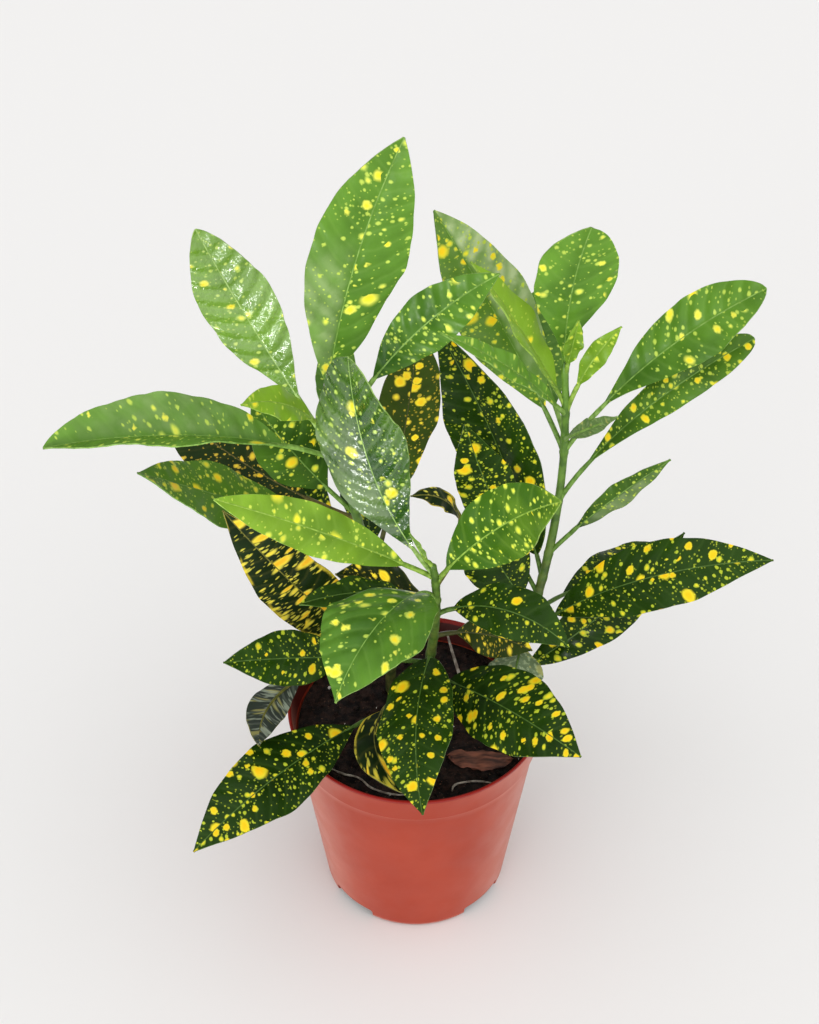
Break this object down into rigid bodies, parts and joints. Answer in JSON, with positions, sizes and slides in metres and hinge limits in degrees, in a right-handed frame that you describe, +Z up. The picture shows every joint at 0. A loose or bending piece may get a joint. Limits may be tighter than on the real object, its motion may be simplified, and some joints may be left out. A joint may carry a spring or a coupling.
{
  "type": "potted croton",
  "caption": "Croton plant with yellow-spotted pointed leaves on green stems, in soil in a round tapered nursery pot.",
  "frame": {"origin": "middle of the pot's underside, on the surface it stands on", "axes": "+Z up along the pot's axis, -Y towards the plant's front, +X to the right as seen from the front"},
  "size_m": [0.301, 0.1892, 0.3857],
  "materials": {
    "pot_plastic": "satin terracotta-red moulded plastic",
    "peat": "damp dark peat crumbs",
    "bark": "rough dry bark",
    "rootlet": "dry thin root",
    "stem_green": "smooth green bark with faint leaf scars",
    "leaf_lime": "glossy young leaf, lime green with small yellow spots",
    "leaf_green": "glossy green leaf with yellow spots",
    "leaf_dark": "glossy dark green leaf with dense yellow and orange spots"
  },
  "bodies": {
    "root": {"pot": "pot_plastic", "soil": "peat", "bark_flake": "bark", "rootlet_1": "rootlet", "rootlet_2": "rootlet", "stem_right": "stem_green", "stem_front": "stem_green", "stem_left": "stem_green", "leaf_right_bud": "leaf_lime", "leaf_right_upright": "leaf_green", "leaf_right_lime_folded": "leaf_lime", "leaf_right_inward": "leaf_green", "leaf_right_small_light": "leaf_lime", "leaf_right_curled": "leaf_green", "leaf_right_back_tall": "leaf_dark", "leaf_right_high": "leaf_green", "leaf_right_second": "leaf_green", "leaf_right_twisted": "leaf_dark", "leaf_right_low": "leaf_dark", "leaf_right_lowest": "leaf_dark", "leaf_right_pale_underside": "leaf_dark", "leaf_front_bud": "leaf_lime", "leaf_front_lime_left": "leaf_lime", "leaf_front_upright": "leaf_green", "leaf_front_lime_right": "leaf_lime", "leaf_front_nodding": "leaf_green", "leaf_front_small_left": "leaf_dark", "leaf_front_right": "leaf_dark", "leaf_front_hanging": "leaf_dark", "leaf_front_low_left": "leaf_dark", "leaf_front_low_right": "leaf_dark", "leaf_front_over_rim": "leaf_dark", "leaf_front_streaked": "leaf_dark", "leaf_front_orange": "leaf_dark", "leaf_front_inner_left": "leaf_dark", "leaf_left_tall": "leaf_green", "leaf_left_glossy": "leaf_green", "leaf_left_small_lime": "leaf_lime", "leaf_left_inward": "leaf_green", "leaf_left_long": "leaf_green", "leaf_left_middle": "leaf_green", "leaf_left_orange_edged": "leaf_dark", "leaf_left_outer": "leaf_dark", "leaf_left_streaked": "leaf_dark", "leaf_left_turned_over": "leaf_dark", "leaf_middle_back": "leaf_dark", "leaf_middle_orange": "leaf_dark", "leaf_middle_arched": "leaf_dark", "leaf_middle_low": "leaf_dark", "leaf_middle_second": "leaf_dark", "leaf_back_upper_right": "leaf_green", "leaf_back_low_right": "leaf_dark", "leaf_back_upper_left": "leaf_green", "leaf_back_low_left": "leaf_dark", "leaf_back_middle": "leaf_dark", "leaf_back_lowest": "leaf_dark"}
  },
  "joints": []
}
